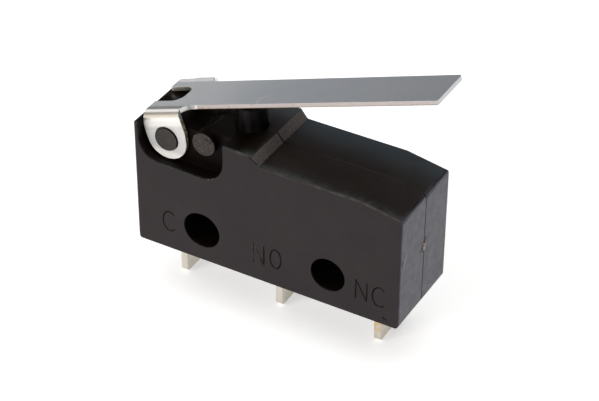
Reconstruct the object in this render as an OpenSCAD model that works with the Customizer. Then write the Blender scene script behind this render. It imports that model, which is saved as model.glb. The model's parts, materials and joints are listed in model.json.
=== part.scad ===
// Lever micro switch: subminiature snap-action switch with a hinged lever.
// Millimetres, +Z up. Origin on the axis of the round mounting hole, halfway
// through the body. +X runs towards the free end of the lever, +Y into the body.

/* [Body] */
// Length of the moulded body
body_length = 19.8; // [19.6:0.1:20.1]
// Thickness of the body, face to face
body_depth = 6.4; // [6.3:0.05:6.7]
// Height of the high part of the top, over the plunger
body_height = 9.75; // [9.65:0.05:9.85]
// How far the left end of the top lies below the high part
left_drop = 0.34; // [0.2:0.05:0.4]
// How far the long low part of the top lies below the high part
low_drop = 0.62; // [0.55:0.01:0.7]
// How far the top falls again towards the right end
end_fall = 0.52; // [0.3:0.02:0.6]
// Distance of the step in the top from the plunger axis
step_from_plunger = 1.85; // [1.75:0.05:2.05]
// Run of the slanted face of the step
step_run = 0.5; // [0.4:0.05:0.7]
// Length of the sloping part at the right end
end_slope_run = 3.0; // [2.5:0.1:3.6]
// Corner radius at the right end of the top
corner_r = 0.3; // [0.2:0.05:0.4]
// Corner radius at the ends of the underside
foot_corner_r = 0.45; // [0.35:0.05:0.55]
// Radius at the upper edge of the step
step_top_r = 0.3; // [0.1:0.05:0.35]
// Bevel along the long outer edges
edge_bevel = 0.05; // [0.04:0.01:0.12]
// Bevel of the upright edges at the left end
left_bevel = 0.15; // [0.1:0.01:0.2]
// Bevel of both halves along the parting line
seam_bevel = 0.05; // [0.04:0.01:0.08]
// Thickness of the outer walls round the chamber
wall = 0.9; // [0.85:0.05:1]

/* [Mounting holes] */
// Radius of the round mounting hole
hole_r = 1.25; // [1.15:0.05:1.3]
// Radius of the slotted mounting hole
slot_r = 1.32; // [1.24:0.02:1.36]
// Distance of the slotted hole from the left end
slot_from_left = 5.1; // [5:0.05:5.2]
// Extra length of the slotted hole
slot_extra = 0.1; // [0.05:0.05:0.2]
// Height of the hole axes above the underside
hole_up = 2.45; // [2.4:0.05:2.55]
// Distance of the round hole from the right end
hole_from_end = 5.2; // [5:0.1:5.4]

/* [Hinge recess] */
// Depth of the recess in each face
recess_depth = 1.12; // [1.08:0.01:1.2]
// Distance of the far side of the recess from the left end
recess_far = 6.86; // [6.7:0.02:7]
// Gap between the foot of the ears and the recess floor
foot_gap = 0.12; // [0.08:0.01:0.2]
// Gap between the ears and the end wall of the recess
end_gap = 0.3; // [0.28:0.01:0.33]
// Radius of the lower recess corners
recess_r = 1.65; // [1.35:0.1:1.65]
// Radius of the hinge pins
pin_r = 0.84; // [0.8:0.01:0.88]
// Running clearance of the lever on its pins
pin_clearance = 0.05; // [0.03:0.01:0.08]
// Distance of the hinge pin in use from the left end
pin_from_left = 2.12; // [2.1:0.02:2.2]
// Depth of the hinge pin in use below the high part of the top
pin_below_top = 1.43; // [1.41:0.01:1.48]
// How far the hinge pins stand out of the recess wall
pin_length = 0.5; // [0.45:0.01:0.56]
// Distance between the pin in use and the spare pin
spare_pin_pitch = 2.9; // [2.8:0.05:3]
// Height of the spare pin above the one in use
spare_pin_rise = 0.6; // [0.5:0.05:0.65]

/* [Lever] */
// Angle of the lever at rest, in degrees
lever_angle = 19.3; // [18.8:0.1:19.6]
// Sheet thickness of the lever
lever_sheet = 0.3; // [0.28:0.01:0.32]
// Width of the lever blade
blade_width = 3.3; // [3.1:0.1:3.5]
// Distance of the lever tip from the hinge axis
lever_reach = 20.65; // [19:0.5:24]
// Height of the blade surface over the hinge axis
blade_over_pin = 2; // [1.98:0.01:2.03]
// Gap between the ears and the recess walls
ear_gap = 0.09; // [0.06:0.01:0.11]
// Outer radius of the folds
fold_r = 0.42; // [0.36:0.02:0.5]
// Radius of the rounded foot of the ears
ear_r = 1.5; // [1.44:0.02:1.52]
// Reach of the ears to the right of the hinge axis
ear_right = 1.6; // [1.54:0.02:1.7]
// Radius where the ears run out into the blade
neck_r = 0.6; // [0.4:0.05:0.7]
// Width of the notch between the ears
notch_width = 1.95; // [1.7:0.05:2.1]
// Distance of the notch end from the hinge axis
notch_end = 0.85; // [0.6:0.05:1]
// Corner radius of the notch
notch_r = 0.75; // [0.5:0.05:0.8]

/* [Plunger] */
// Radius of the plunger button
plunger_r = 1.05; // [0.95:0.05:1.1]
// Distance of the plunger from the left end
plunger_from_left = 7.15; // [7.1:0.05:7.2]
// Radius of the domed plunger top
dome_r = 1.6; // [1.4:0.05:1.9]
// Guide clearance round the plunger
plunger_clearance = 0.05; // [0.04:0.01:0.08]
// Gap left between touching parts of the mechanism
touch_gap = 0.05; // [0.05:0.01:0.06]
// Thickness of the plunger collar inside the body
collar_height = 0.6; // [0.5:0.05:0.65]

/* [Terminals] */
// Sheet thickness of the terminals
terminal_sheet = 0.5; // [0.44:0.02:0.52]
// Width of the terminals
terminal_width = 1.7; // [1.5:0.1:1.9]
// Length of the terminals below the body
terminal_drop = 3.8; // [3:0.1:4.5]
// Corner bevel of the terminal tips
tip_bevel = 0.3; // [0.2:0.05:0.4]
// Distance of the common terminal from the left end
common_from_left = 2.1; // [2.05:0.05:2.15]
// Distance of the normally open terminal from the left end
no_from_left = 9.63; // [9.5:0.05:9.8]
// Distance of the normally closed terminal from the right end
nc_from_right = 2.68; // [2.5:0.02:2.7]
// Width of the retaining shoulders inside the body
shoulder_width = 2.5; // [2.3:0.1:2.7]

/* [Snap mechanism] */
// Thickness of the moving contact blade and the inner lever
leaf_sheet = 0.2; // [0.16:0.02:0.24]
// Width of the moving contact blade
leaf_width = 2.5; // [2.4:0.05:2.6]
// Width of the opening in the moving contact blade
leaf_window = 1.7; // [1.65:0.05:1.75]
// Width of the inner lever
inner_width = 1.3; // [1.1:0.05:1.4]
// Radius of the contacts
contact_r = 0.85; // [0.7:0.05:0.95]
// Distance of the contacts from the right end
contact_from_right = 4.5; // [4.4:0.05:4.6]
// Air gap between the open contacts
contact_gap = 0.42; // [0.36:0.02:0.46]
// Wire radius of the tension spring
wire_r = 0.08; // [0.07:0.01:0.09]
// Mean coil radius of the tension spring
coil_r = 0.36; // [0.32:0.01:0.38]
// Number of turns of the tension spring
coil_turns = 9; // [7:1:11]

/* [Hidden] */
$fn = 64;
// small play between parts that stay still on each other
seat = 0.02;
// how far cuts run past the faces that they open
over = 0.01;
through = 1;
half_depth = body_depth / 2;
x_right = hole_from_end;
x_left = hole_from_end - body_length;
slot_x = x_left + slot_from_left;
plunger_x = x_left + plunger_from_left;
common_x = x_left + common_from_left;
no_x = x_left + no_from_left;
nc_x = x_right - nc_from_right;
contact_x = x_right - contact_from_right;
z_bottom = -hole_up;
z_high = body_height - hole_up;
z_left = z_high - left_drop;
z_low = z_high - low_drop;
z_end = z_low - end_fall;
x_step = plunger_x + step_from_plunger;
step_r = 0.12;
ramp_from_left = 4.4;
ramp_run = 0.6;
ramp_r = 0.3;
x_ramp = x_left + ramp_from_left;
edge_run = 0.03;
// hinge recess
pin_x = x_left + pin_from_left;
pin_z = z_high - pin_below_top;
pin_root = 0.3;
web_half = half_depth - recess_depth;
ear_inner = web_half + ear_gap;
ear_outer = ear_inner + lever_sheet;
z_floor = pin_z - ear_r - foot_gap;
x_recess = pin_x - ear_r - end_gap;
recess_draft = 0.05;
// outline of the ears and the blade
ear_lean = 0.3;
ear_waist = 0.06;
ear_belly = 0.02;
neck_inset = 0.1;
tip_r = 0.12;
// chamber
roof = wall + 0.05;
right_roof = wall + 0.1;
end_roof = wall - 0.05;
floor_r = 0.2;
end_r = 0.3;
end_rib = 0.15;
recess_back = 0.55;
narrow_half = 1.45;
wide_half = half_depth - wall;
x_in_left = x_left + wall + end_rib;
x_in_right = x_right - wall;
x_narrow = x_left + recess_far + recess_back;
z_roof = z_high - roof;
// plunger
bore_r = plunger_r + plunger_clearance;
dome_z = pin_z + (blade_over_pin - lever_sheet - dome_r - touch_gap
    + (plunger_x - pin_x) * sin(lever_angle)) / cos(lever_angle);
dome_shoulder = 0.3;
shoulder_z = dome_z + dome_shoulder;
collar_drop = 0.1;
z_collar = z_roof - collar_drop;
collar_half = 1.35;
// moving contact blade and inner lever: pivots on the common terminal
leaf_drop = 2.45;
leaf_z = z_roof - leaf_drop;
leaf_x = common_x + terminal_sheet / 2 + seat;
window_gap = 0.05;
inner_drop = 1.9;
inner_z = z_roof - inner_drop;
inner_x = common_x - terminal_sheet / 2 - window_gap;
inner_angle = 6.6;
inner_reach = 7.2;
inner_tail = 0.45;
foot_r = 0.5;
foot_z = inner_z + ((plunger_x - inner_x) * sin(inner_angle)
    + leaf_sheet / 2 + foot_r + touch_gap) / cos(inner_angle);
post_half = 0.35;
notch_half = 0.12;
blade_notch_shift = 0.06;
notch_up = 0.3;
post_up = 0.55;
// contacts
moving_up = 0.55;
moving_down = 0.5;
moving_inset = 0.05;
moving_r = contact_r - moving_inset;
moving_top = leaf_z + leaf_sheet / 2 + moving_up;
moving_low = leaf_z - leaf_sheet / 2 - moving_down;
contact_head = 0.36;
rivet_r = 0.4;
rivet_seat = 0.001;
head_chamfer = 0.15;
strip_end = 1.1;
blade_end = 1.05;
nc_face = moving_top + seat;
no_face = moving_low - contact_gap;
nc_strip = nc_face + contact_head;
no_strip = no_face - contact_head;
chamber_play = 0.12;
z_in_bottom = no_strip - terminal_sheet - chamber_play;
// tension spring and its hooks
hook_ring = 0.3;
hook_offset = 0.2;
hook_sweep = 320;
hook_steps = 14;
hook_from_contact = 1.75;
hook_slot = 0.65;
hook_half = 0.25;
coil_steps = 12;
coil_lead = 0.15;
wire_sides = 6;
bar_half = 0.12;
window_start = 0.6;
hook_x1 = inner_x + inner_reach * cos(inner_angle);
hook_z1 = inner_z + inner_reach * sin(inner_angle);
hook_x2 = contact_x - hook_from_contact;
hook_z2 = leaf_z;
spring_run = norm([hook_x2 - hook_x1, hook_z2 - hook_z1]);
spring_tilt = atan2(hook_z2 - hook_z1, hook_x2 - hook_x1);
// locating pegs of the base, halfway between the holes and the middle terminal
peg_r = 0.45;
peg_length = 0.8;
peg_root = 0.4;
peg_play = 0.1;
peg_z = 0.1;
corner_peg_in = 1;
corner_peg_down = 0.7;
pegs = [
    [(slot_x + slot_extra / 2 + slot_r + no_x - terminal_sheet / 2) / 2, peg_z],
    [(no_x + terminal_sheet / 2 - hole_r) / 2, peg_z],
    [x_right - corner_peg_in, z_in_bottom - corner_peg_down]];
// shoulders of the terminals above the underside
sheet_bevel = 0.24;
bend_r = 0.4;
shoulder_low = 1.2;
shoulder_high = 2.4;

// ---- helpers ----

function unit(v) = v / norm(v);

// the sliver between a corner and the arc that rounds it
module corner_sliver(p, a, b, r) {
    u = unit(a - p);
    w = unit(b - p);
    h = acos(u * w) / 2;
    c = p + unit(u + w) * r / sin(h);
    difference() {
        polygon([p, p + u * r / tan(h), c, p + w * r / tan(h)]);
        translate(c) circle(r = r);
    }
}

// polygon with round corners: positive radii for outer corners, negative for inner ones
module rounded(pts, rad) {
    n = len(pts);
    difference() {
        union() {
            polygon(pts);
            for (i = [0:n - 1])
                if (rad[i] < 0)
                    corner_sliver(pts[i], pts[(i + n - 1) % n], pts[(i + 1) % n], -rad[i]);
        }
        for (i = [0:n - 1])
            if (rad[i] > 0)
                corner_sliver(pts[i], pts[(i + n - 1) % n], pts[(i + 1) % n], rad[i]);
    }
}

// an X-Z outline given thickness from y0 to y1
module slab(y0, y1) {
    translate([0, y1, 0]) rotate([90, 0, 0]) linear_extrude(height = y1 - y0) children();
}

// the same on one side: s is 1 for the base and -1 for the cover
module side_slab(s, y0, y1) {
    slab(s < 0 ? -y1 : y0, s < 0 ? -y0 : y1) children();
}

// a round bar along Y
module bar(r, x, z, y0, y1) {
    translate([x, y1, z]) rotate([90, 0, 0]) cylinder(r = r, h = y1 - y0);
}

module box(x0, x1, y0, y1, z0, z1) {
    translate([x0, y0, z0]) cube([x1 - x0, y1 - y0, z1 - z0]);
}

// ---- housing ----

function outline_points() = [
    [x_left, z_bottom], [x_right, z_bottom],
    [x_right, z_end], [x_right - end_slope_run, z_low],
    [x_step + step_run, z_low], [x_step, z_high],
    [x_ramp + ramp_run, z_high], [x_ramp, z_left],
    [x_left, z_left]];

module body_outline() {
    rounded(outline_points(),
        [foot_corner_r, foot_corner_r, corner_r, 0, -step_r, step_top_r, ramp_r, -ramp_r,
            corner_r / 2]);
}

module recess_outline() {
    rounded([
        [x_recess - recess_draft, z_high + through],
        [x_recess + recess_draft, z_floor],
        [x_left + recess_far - recess_draft, z_floor],
        [x_left + recess_far, z_high + through]],
        [0, recess_r, recess_r, 0]);
}

module chamber_left() {
    rounded([
        [x_in_left, z_in_bottom], [x_narrow + over, z_in_bottom],
        [x_narrow + over, z_roof], [x_ramp + ramp_run, z_roof],
        [x_ramp, z_roof - left_drop], [x_in_left, z_roof - left_drop]],
        [floor_r, 0, 0, 0, 0, end_r]);
}

module chamber_right() {
    rounded([
        [x_narrow, z_in_bottom], [x_in_right, z_in_bottom],
        [x_in_right, z_end - end_roof], [x_right - end_slope_run, z_low - right_roof],
        [x_step + step_run, z_low - right_roof], [x_step - step_run / 2, z_roof],
        [x_narrow, z_roof]],
        [0, floor_r, end_r, 0, 0, 0, 0]);
}

module slot_outline(r) {
    half_extra = slot_extra / 2;
    for (s = [-1, 1])
        translate([slot_x + s * half_extra, 0]) circle(r = r);
    translate([slot_x - half_extra, -r]) square([slot_extra, 2 * r]);
}

// bevels along the straight outer edges of the plane at y; the last edge is the left end
module edge_bevels(y, size, last_size) {
    pts = outline_points();
    for (i = [0:8]) {
        c = (i < 8 ? size : last_size) * sqrt(0.5);
        a = pts[i];
        b = pts[(i + 1) % 9];
        d = unit(b - a);
        l = norm(b - a);
        translate([a[0], y, a[1]])
            rotate([0, -atan2(d[1], d[0]), 0])
                rotate([45, 0, 0])
                    translate([-edge_run, -c, -c]) cube([l + 2 * edge_run, 2 * c, 2 * c]);
    }
}

module housing_half(s) {
    outer = half_depth + through;
    difference() {
        union() {
            difference() {
                side_slab(s, 0, half_depth) body_outline();
                side_slab(s, web_half, outer) recess_outline();
            }
            hinge_pins(s);
        }
        side_slab(s, -over, narrow_half) chamber_left();
        side_slab(s, -over, wide_half) chamber_right();
        bar(hole_r, 0, 0, -outer, outer);
        slab(-outer, outer) slot_outline(slot_r);
        translate([plunger_x, 0, z_roof - roof / 2]) cylinder(r = bore_r, h = 2 * roof);
        for (x = [common_x, no_x, nc_x]) terminal_slot(x);
        edge_bevels(s * half_depth, edge_bevel, left_bevel);
        edge_bevels(0, seam_bevel, seam_bevel);
    }
}

module hinge_pins(s) {
    side_slab(s, web_half - pin_root, web_half + pin_length) {
        translate([pin_x, pin_z]) circle(r = pin_r);
        translate([pin_x + spare_pin_pitch, pin_z + spare_pin_rise]) circle(r = pin_r);
    }
}

module terminal_slot(x) {
    w = terminal_sheet / 2 + seat;
    box(x - w, x + w, -terminal_width / 2 - seat, terminal_width / 2 + seat,
        z_bottom - through, z_in_bottom + terminal_sheet);
    box(x - w, x + w, -shoulder_width / 2 - seat, shoulder_width / 2 + seat,
        z_bottom + shoulder_low - seat, z_bottom + shoulder_high + seat);
}

module housing_base() {
    color([0.16, 0.15, 0.16]) {
        housing_half(1);
        for (p = pegs) bar(peg_r, p[0], p[1], -peg_length, peg_root);
    }
}

module housing_cover() {
    color([0.18, 0.17, 0.18]) difference() {
        housing_half(-1);
        for (p = pegs) bar(peg_r + seat, p[0], p[1], -peg_length - peg_play, through);
    }
}

// ---- hinge lever ----

// side view of the ears, hinge axis at the origin, u along the blade
module ear_side() {
    circle(r = ear_r);
    polygon([[ear_r * cos(-20), ear_r * sin(-20)], [ear_right, ear_r / 5],
        [ear_right, blade_over_pin + lever_sheet], [ear_lean - ear_r, blade_over_pin + lever_sheet],
        [ear_lean - ear_r, blade_over_pin - lever_sheet / 2],
        [ear_waist - ear_r, 0.6 * blade_over_pin],
        [-ear_belly - ear_r, blade_over_pin / 4], [-ear_r, 0]]);
}

module lever_section() {
    h = blade_over_pin;
    difference() {
        rounded([[-ear_outer, -2 * ear_r], [ear_outer, -2 * ear_r], [ear_outer, h], [-ear_outer, h]],
            [0, 0, fold_r, fold_r]);
        rounded([[-ear_inner, -3 * ear_r], [ear_inner, -3 * ear_r],
            [ear_inner, h - lever_sheet], [-ear_inner, h - lever_sheet]],
            [0, 0, fold_r - lever_sheet, fold_r - lever_sheet]);
    }
}

module blade_outline() {
    w = blade_width / 2;
    e = min(w + neck_r, ear_outer - neck_inset);
    rounded([[0, -e], [ear_right, -e], [ear_right, -w], [lever_reach, -w],
        [lever_reach, w], [ear_right, w], [ear_right, e], [0, e]],
        [0, 0, -(e - w), tip_r, tip_r, -(e - w), 0, 0]);
}

module notch_plan() {
    w = notch_width / 2;
    rounded([[-2 * ear_r, -w], [notch_end, -w], [notch_end, w], [-2 * ear_r, w]],
        [0, notch_r, notch_r, 0]);
}

module hinge_lever() {
    color([0.72, 0.73, 0.75])
    translate([pin_x, 0, pin_z]) rotate([0, -lever_angle, 0]) difference() {
        union() {
            intersection() {
                translate([-2 * ear_r, 0, 0]) rotate([90, 0, 90])
                    linear_extrude(height = ear_right + 2 * ear_r) lever_section();
                slab(-ear_outer - 1, ear_outer + 1) ear_side();
            }
            translate([0, 0, blade_over_pin - lever_sheet])
                linear_extrude(height = lever_sheet) blade_outline();
        }
        translate([0, 0, blade_over_pin - 2 * lever_sheet])
            linear_extrude(height = 3 * lever_sheet) notch_plan();
        bar(pin_r + pin_clearance, 0, 0, -ear_outer - through, ear_outer + through);
    }
}

// ---- plunger ----

module plunger() {
    color([0.13, 0.12, 0.13]) {
        translate([plunger_x, 0, 0]) {
            intersection() {
                translate([0, 0, z_collar - collar_height / 2])
                    cylinder(r = plunger_r, h = dome_z + dome_r - z_collar + collar_height);
                translate([0, 0, dome_z]) sphere(r = dome_r);
            }
            translate([0, 0, z_collar - collar_height / 2])
                cylinder(r = plunger_r, h = shoulder_z - z_collar + collar_height / 2);
            box(-collar_half, collar_half, -collar_half, collar_half,
                z_collar - collar_height, z_collar);
            box(-foot_r, foot_r, -inner_width / 2, inner_width / 2, foot_z, z_collar);
            bar(foot_r, 0, foot_z, -inner_width / 2, inner_width / 2);
        }
    }
}

// ---- terminals and fixed contacts ----

module terminal_leg(x, z_top) {
    w = terminal_width / 2;
    t = terminal_sheet / 2;
    z0 = z_bottom - terminal_drop;
    difference() {
        union() {
            box(x - t, x + t, -w, w, z0, z_top);
            box(x - t, x + t, -shoulder_width / 2, shoulder_width / 2,
                z_bottom + shoulder_low, z_bottom + shoulder_high);
        }
        for (s = [-1, 1])
            translate([x, s * w, z0]) rotate([45, 0, 0])
                cube([2 * terminal_sheet, tip_bevel * sqrt(2), tip_bevel * sqrt(2)], center = true);
        for (s = [-1, 1])
            translate([x + s * t, 0, z0]) rotate([0, 45, 0])
                cube([sheet_bevel, 2 * terminal_width, sheet_bevel], center = true);
    }
}

// V-shaped notch in which an edge of sheet metal rocks
module pivot_notch(x, z) {
    translate([x, 0, z]) rotate([0, 45, 0])
        cube([2 * notch_half, 2 * leaf_width, 2 * notch_half], center = true);
}

module terminal_common() {
    t = terminal_sheet / 2;
    color([0.78, 0.74, 0.64]) difference() {
        union() {
            terminal_leg(common_x, leaf_z);
            box(common_x - t, common_x + t, -leaf_width / 2, leaf_width / 2,
                z_in_bottom, leaf_z + notch_up);
            box(common_x - t, common_x + t, -post_half, post_half, z_in_bottom, inner_z + post_up);
        }
        pivot_notch(leaf_x + blade_notch_shift, leaf_z);
        pivot_notch(inner_x, inner_z);
    }
}

module terminal_no() {
    x = no_x;
    t = terminal_sheet / 2;
    color([0.78, 0.74, 0.64]) difference() {
        union() {
            terminal_leg(x, z_in_bottom);
            slab(-terminal_width / 2, terminal_width / 2)
                rounded([[x - t, z_in_bottom - terminal_sheet], [x + t, z_in_bottom - terminal_sheet],
                    [x + t, no_strip - terminal_sheet],
                    [contact_x + strip_end, no_strip - terminal_sheet],
                    [contact_x + strip_end, no_strip], [x - t, no_strip]],
                    [0, 0, 0, 0, 0, bend_r]);
        }
        translate([contact_x, 0, no_strip - 2 * terminal_sheet])
            cylinder(r = rivet_r, h = 3 * terminal_sheet);
    }
}

module terminal_nc() {
    x = nc_x;
    t = terminal_sheet / 2;
    z1 = nc_strip + terminal_sheet;
    color([0.78, 0.74, 0.64]) difference() {
        union() {
            terminal_leg(x, z_in_bottom);
            slab(-terminal_width / 2, terminal_width / 2)
                rounded([[x - t, z_in_bottom - terminal_sheet], [x + t, z_in_bottom - terminal_sheet],
                    [x + t, z1], [contact_x - strip_end, z1],
                    [contact_x - strip_end, nc_strip], [x - t, nc_strip]],
                    [0, 0, bend_r, 0, 0, -bend_r / 4]);
        }
        translate([contact_x, 0, nc_strip - terminal_sheet])
            cylinder(r = rivet_r, h = 3 * terminal_sheet);
    }
}

// rivet contact: shank up from z = 0, head below it
module rivet(head) {
    translate([0, 0, -head]) cylinder(r1 = contact_r - head_chamfer, r2 = contact_r, h = head_chamfer);
    translate([0, 0, head_chamfer - head]) cylinder(r = contact_r, h = head - head_chamfer);
    translate([0, 0, -head / 2]) cylinder(r = rivet_r - rivet_seat, h = terminal_sheet + head / 2);
}

module contact_no() {
    color([0.86, 0.86, 0.84]) translate([contact_x, 0, no_strip]) mirror([0, 0, 1])
        rivet(contact_head);
}

module contact_nc() {
    color([0.86, 0.86, 0.84]) translate([contact_x, 0, nc_strip]) rivet(contact_head);
}

// ---- snap mechanism ----

module contact_blade() {
    t = leaf_sheet;
    x0 = leaf_x + seat;
    x1 = contact_x + blade_end;
    color([0.78, 0.58, 0.3]) difference() {
        union() {
            box(x0, x1, -leaf_width / 2, leaf_width / 2, leaf_z - t / 2, leaf_z + t / 2);
            translate([x0, 0, leaf_z]) rotate([0, 45, 0])
                cube([t * sqrt(0.5), leaf_width, t * sqrt(0.5)], center = true);
        }
        box(leaf_x + window_start, hook_x2 - bar_half, -leaf_window / 2, leaf_window / 2,
            leaf_z - t, leaf_z + t);
        box(hook_x2 + bar_half, hook_x2 + hook_slot, -hook_half, hook_half,
            leaf_z - t, leaf_z + t);
        translate([contact_x, 0, leaf_z - t]) cylinder(r = rivet_r, h = 2 * t);
    }
}

module contact_moving() {
    color([0.86, 0.86, 0.84]) translate([contact_x, 0, 0]) {
        for (m = [0, 1])
            translate([0, 0, m == 0 ? moving_top : moving_low]) mirror([0, 0, m])
                translate([0, 0, -head_chamfer])
                    cylinder(r1 = moving_r, r2 = moving_r - head_chamfer, h = head_chamfer);
        translate([0, 0, leaf_z + leaf_sheet / 2])
            cylinder(r = moving_r, h = moving_top - leaf_z - leaf_sheet / 2 - head_chamfer);
        translate([0, 0, moving_low + head_chamfer])
            cylinder(r = moving_r, h = leaf_z - leaf_sheet / 2 - moving_low - head_chamfer);
        translate([0, 0, leaf_z - leaf_sheet]) cylinder(r = rivet_r - rivet_seat, h = 2 * leaf_sheet);
    }
}

module inner_lever() {
    t = leaf_sheet;
    color([0.74, 0.74, 0.76])
    translate([inner_x, 0, inner_z]) rotate([0, -inner_angle, 0]) difference() {
        union() {
            box(-inner_tail, inner_reach + bar_half, -inner_width / 2, inner_width / 2,
                -t / 2, t / 2);
            box(-inner_tail, t - inner_tail, -inner_width / 2, inner_width / 2, -2 * t, 0);
        }
        box(seat, terminal_sheet + 3 * window_gap, -post_half - window_gap,
            post_half + window_gap, -t, t);
        box(inner_reach - hook_slot, inner_reach - bar_half, -hook_half, hook_half, -t, t);
    }
}

// Centre line of the spring wire, along X from the first hook to the second:
// a hook standing in the X-Z plane, the coil, and the other hook.
function hook_points(x, from_angle, y0, y1) = [
    for (i = [0:hook_steps])
        let (f = i / hook_steps, a = from_angle + hook_sweep * f)
        [x + hook_ring * cos(a), y0 + (y1 - y0) * f, hook_ring * sin(a)]];

function coil_points(x0, x1) = [
    for (i = [0:coil_turns * coil_steps])
        let (f = i / (coil_turns * coil_steps), a = 360 * coil_turns * f)
        [x0 + (x1 - x0) * f, coil_r * sin(a), -coil_r * cos(a)]];

// unit tangent of a path at point i
function tangent(path, i) =
    unit(path[min(i + 1, len(path) - 1)] - path[max(i - 1, 0)]);

// v made square to the unit vector t
function squared(v, t) = unit(v - (v * t) * t);

// side vectors carried along the path without twist
function carried(path, first) = [
    for (i = 0, n = squared(first, tangent(path, 0)); i < len(path);
            i = i + 1, n = squared(n, tangent(path, min(i, len(path) - 1))))
        n];

module wire(path, r, sides) {
    n = len(path);
    side = carried(path, [0, 1, 0.3]);
    points = [
        for (i = [0:n - 1])
            let (t = tangent(path, i), u = side[i], w = cross(t, u))
            for (k = [0:sides - 1])
                let (a = 360 * k / sides)
                path[i] + r * (cos(a) * u + sin(a) * w)];
    skin = [
        for (i = [0:n - 2])
            for (k = [0:sides - 1])
                let (m = (k + 1) % sides)
                [i * sides + k, (i + 1) * sides + k, (i + 1) * sides + m, i * sides + m]];
    first_cap = [for (k = [0:sides - 1]) k];
    last_cap = [for (k = [sides - 1:-1:0]) (n - 1) * sides + k];
    polyhedron(points, concat([first_cap], skin, [last_cap]), convexity = 8);
}

module tension_spring() {
    start = 2 * hook_ring + coil_lead;
    path = concat(
        hook_points(0, -90 - hook_sweep, hook_offset, 0),
        coil_points(start, spring_run - start),
        hook_points(spring_run, -90, 0, -hook_offset));
    color([0.7, 0.71, 0.73])
        translate([hook_x1, 0, hook_z1]) rotate([0, -spring_tilt, 0])
            wire(path, wire_r, wire_sides);
}

housing_base();
housing_cover();
hinge_lever();
plunger();
terminal_common();
terminal_no();
terminal_nc();
contact_no();
contact_nc();
contact_blade();
contact_moving();
inner_lever();
tension_spring();
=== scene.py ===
"""Looks of the lever micro switch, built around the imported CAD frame.

The frame is the CAD's own. The origin is on the axis of the round mounting hole, halfway through the body.
X runs along the body towards the lever's free end, Y through it from the marked face, and Z up. Sizes and
places are written in millimetres, except where a comment says metres, and become metres on their way into
Blender. Colours are linear.
"""

import json
import math

import bmesh
import bpy
from mathutils import Matrix, Vector


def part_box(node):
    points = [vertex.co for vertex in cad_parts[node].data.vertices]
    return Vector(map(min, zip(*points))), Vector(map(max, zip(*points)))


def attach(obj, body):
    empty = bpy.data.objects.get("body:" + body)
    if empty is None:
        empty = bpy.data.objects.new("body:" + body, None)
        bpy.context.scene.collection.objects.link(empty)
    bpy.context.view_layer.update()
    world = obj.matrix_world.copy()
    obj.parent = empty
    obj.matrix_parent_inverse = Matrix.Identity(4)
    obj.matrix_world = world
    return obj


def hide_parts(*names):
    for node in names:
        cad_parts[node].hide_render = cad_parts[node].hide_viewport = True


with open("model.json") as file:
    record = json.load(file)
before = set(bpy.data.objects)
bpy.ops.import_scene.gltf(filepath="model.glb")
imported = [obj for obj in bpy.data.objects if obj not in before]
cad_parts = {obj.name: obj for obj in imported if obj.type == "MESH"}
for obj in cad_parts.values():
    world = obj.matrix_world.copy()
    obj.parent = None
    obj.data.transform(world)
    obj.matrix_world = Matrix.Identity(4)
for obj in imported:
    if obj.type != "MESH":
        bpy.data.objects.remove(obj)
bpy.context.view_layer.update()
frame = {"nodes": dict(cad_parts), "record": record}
nodes = frame["nodes"]
scene = bpy.context.scene
MM = 0.001


def mm(*point):
    """A point in millimetres, as a vector in metres."""
    return Vector(point) * MM


def rgb(r, g, b):
    return (r, g, b, 1.0)


def add_object(name, data):
    """A new object in the scene."""
    obj = bpy.data.objects.new(name, data)
    scene.collection.objects.link(obj)
    return obj


def mesh_of(name, bm):
    """A new mesh from a bmesh, which is freed."""
    mesh = bpy.data.meshes.new(name)
    bm.to_mesh(mesh)
    bm.free()
    return mesh


# ---------------------------------------------------------------- places on the part, from the frame
body_low, body_high = (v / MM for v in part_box("housing_cover"))
LEFT, RIGHT = body_low.x, body_high.x
FRONT, BACK = body_low.y, -body_low.y
# the high top over the plunger, the long top right of the step, and the upper edges of the two ends
TOP = body_high.z
LOW_TOP = TOP - 0.62
END_TOP = TOP - 1.14
LEFT_TOP = TOP - 0.34
# the slanted face between the two tops, and the place where the long top starts to fall towards the right end
STEP_X0, STEP_X1 = -5.68, -4.98
FALL_X = RIGHT - 3

joints = {joint["name"]: joint for joint in frame["record"]["behaviour"]["joints"]}
mounts = {mount["name"]: mount for mount in frame["record"]["mounts"]}
# the lever's hinge pin, the spare pin beside it, and the y of their front ends
PIN = Vector(joints["lever_hinge"]["pos_m"]) / MM
SPARE_PIN = PIN + Vector((2.9, 0, 0.6))
PIN_R = 0.84
PIN_FACE = -2.58
SLOT_X = mounts["slotted_hole"]["pos_m"][0] / MM

# the lever: its tilt at rest, the blade's upper face over the pin, the ears' outer faces, and the outer
# radius of the fold between them
LEVER_TILT = math.radians(19.3)
BLADE_HEIGHT = 2.0
EAR_FACE = 2.47
FOLD_R = 0.85

# ---------------------------------------------------------------- camera; its nearest distance is in metres
CAMERA_AT = mm(48.839, -93.160, 80.748)
CAMERA_RIGHT = Vector((0.86855, 0.49558, 0.00445))
CAMERA_UP = Vector((-0.29564, 0.51090, 0.80721))
CAMERA_BACK = Vector((0.39776, -0.70242, 0.59025))
LENS = 122.13
SENSOR_WIDTH = 36
CLIP_START = 0.005

cam_data = bpy.data.cameras.new("camera")
cam_data.lens = LENS
cam_data.sensor_width = SENSOR_WIDTH
cam_data.clip_start = CLIP_START
cam = add_object("camera", cam_data)
axes = Matrix((CAMERA_RIGHT, CAMERA_UP, CAMERA_BACK)).transposed().to_4x4()
cam.matrix_world = Matrix.Translation(CAMERA_AT) @ axes
scene.camera = cam
scene.view_settings.view_transform = "Standard"


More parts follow.
